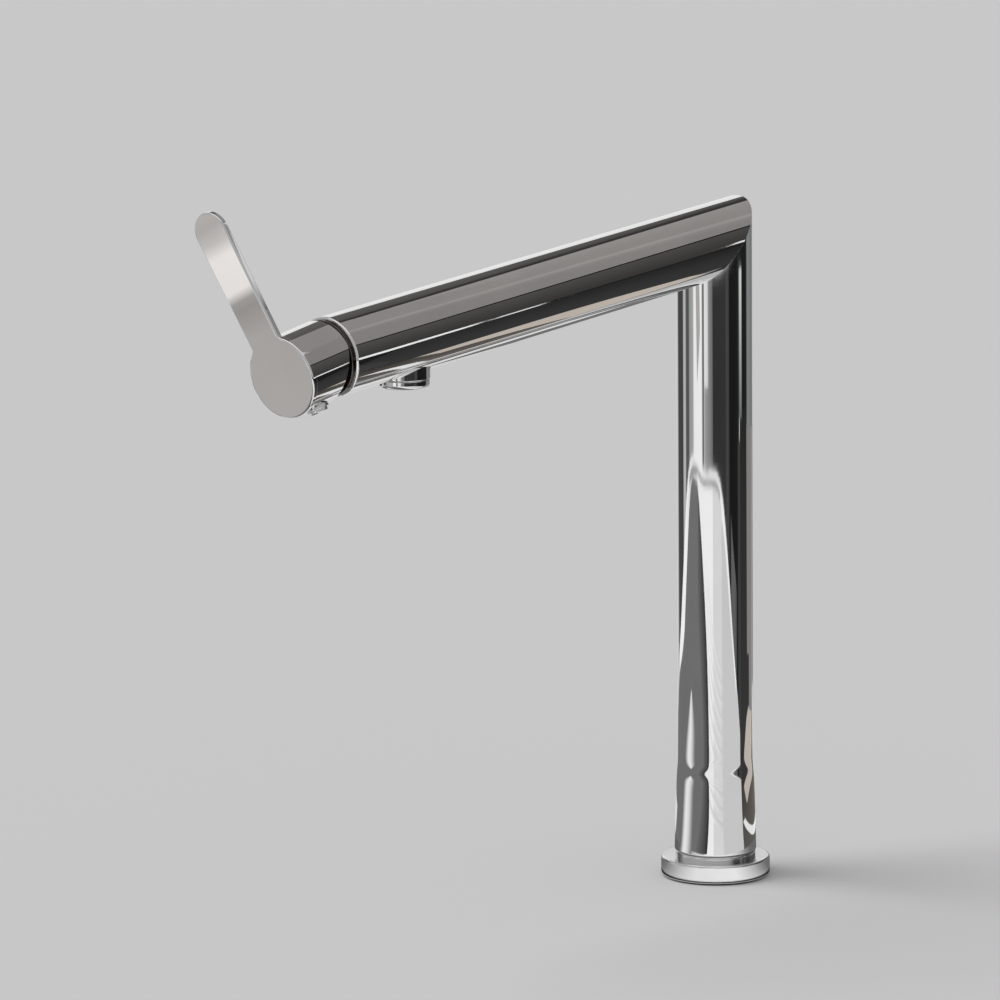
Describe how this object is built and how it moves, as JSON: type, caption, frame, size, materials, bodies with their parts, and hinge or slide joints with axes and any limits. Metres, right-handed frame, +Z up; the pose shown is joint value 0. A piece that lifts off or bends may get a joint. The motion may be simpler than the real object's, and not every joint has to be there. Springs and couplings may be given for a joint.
{
  "type": "single-lever kitchen mixer tap",
  "caption": "Chrome kitchen mixer: upright tube, mitred sloping arm that swivels, lift-and-turn lever on the arm's free end, aerator under the arm.",
  "frame": {"origin": "centre of the tap hole, on top of the deck, where the gasket rests", "axes": "+Z up along the column, -Y the way the arm points at rest, +X to the right of someone who faces the lever"},
  "size_m": [0.0695, 0.3538, 0.4172],
  "materials": {
    "chrome": "polished chrome plating",
    "dark_chrome": "polished, in the shade of the gap",
    "plug_chrome": "plated plastic",
    "raw_brass": "machined",
    "copper": "drawn tube",
    "washer_steel": "zinc plated",
    "screw_steel": "turned",
    "seal_rubber": "matt moulded",
    "glide_plastic": "moulded",
    "insert_plastic": "moulded",
    "cartridge_plastic": "moulded",
    "ceramic": "lapped ceramic"
  },
  "bodies": {
    "base": {"base_flange": "chrome", "base_gasket": "seal_rubber", "threaded_shank": "raw_brass", "deck_seal_washer": "seal_rubber", "clamp_washer": "washer_steel", "fixing_nut": "raw_brass", "jack_screws": "screw_steel", "retaining_clip": "screw_steel", "swivel_stop_pin": "screw_steel"},
    "spout": {"column_tube": "chrome", "arm_tube": "chrome", "swivel_foot": "raw_brass", "lower_glide_ring": "glide_plastic", "upper_glide_ring": "glide_plastic", "inlet_manifold": "raw_brass", "hot_pipe": "copper", "cold_pipe": "copper", "valve_body": "raw_brass", "outlet_boss": "chrome", "aerator_housing": "chrome", "aerator_insert": "insert_plastic", "aerator_washer": "seal_rubber", "neck_ring": "dark_chrome", "port_seals": "seal_rubber", "cartridge_base": "cartridge_plastic", "fixed_disc": "ceramic", "cartridge_housing": "cartridge_plastic", "cartridge_clamp_nut": "raw_brass"},
    "rotor": {"cartridge_rotor": "cartridge_plastic", "rotor_seal": "seal_rubber", "pivot_pin": "screw_steel"},
    "disc": {"moving_disc": "ceramic", "disc_carrier": "cartridge_plastic"},
    "lever": {"spindle": "screw_steel", "lever_cap": "chrome", "lever_plate": "chrome", "grub_screw": "screw_steel", "indicator_plug": "plug_chrome"}
  },
  "joints": [
    {"name": "spout_swivel", "type": "hinge", "parent": "base", "child": "spout", "pos_m": [0, 0, 0.05], "axis": [0, 0, 1], "range_deg": [-70, 70]},
    {"name": "lever_turn", "type": "hinge", "parent": "spout", "child": "rotor", "pos_m": [0, 0, 0.3223], "axis": [0, -0.996, -0.0889], "range_deg": [-70.8, 19.2]},
    {"name": "lever_lift", "type": "hinge", "parent": "rotor", "child": "lever", "pos_m": [0, -0.2773, 0.29755], "axis": [0.9003, -0.0387, 0.4335], "range_deg": [0, 15]},
    {"name": "disc_slide", "type": "slide", "parent": "rotor", "child": "disc", "axis": [-0.4352, -0.08, 0.8968], "range_m": [0, 0.0032]}
  ],
  "couplings": [
    {"joint": "disc_slide", "follows": "lever_lift", "m_per_rad": 0.01217}
  ]
}
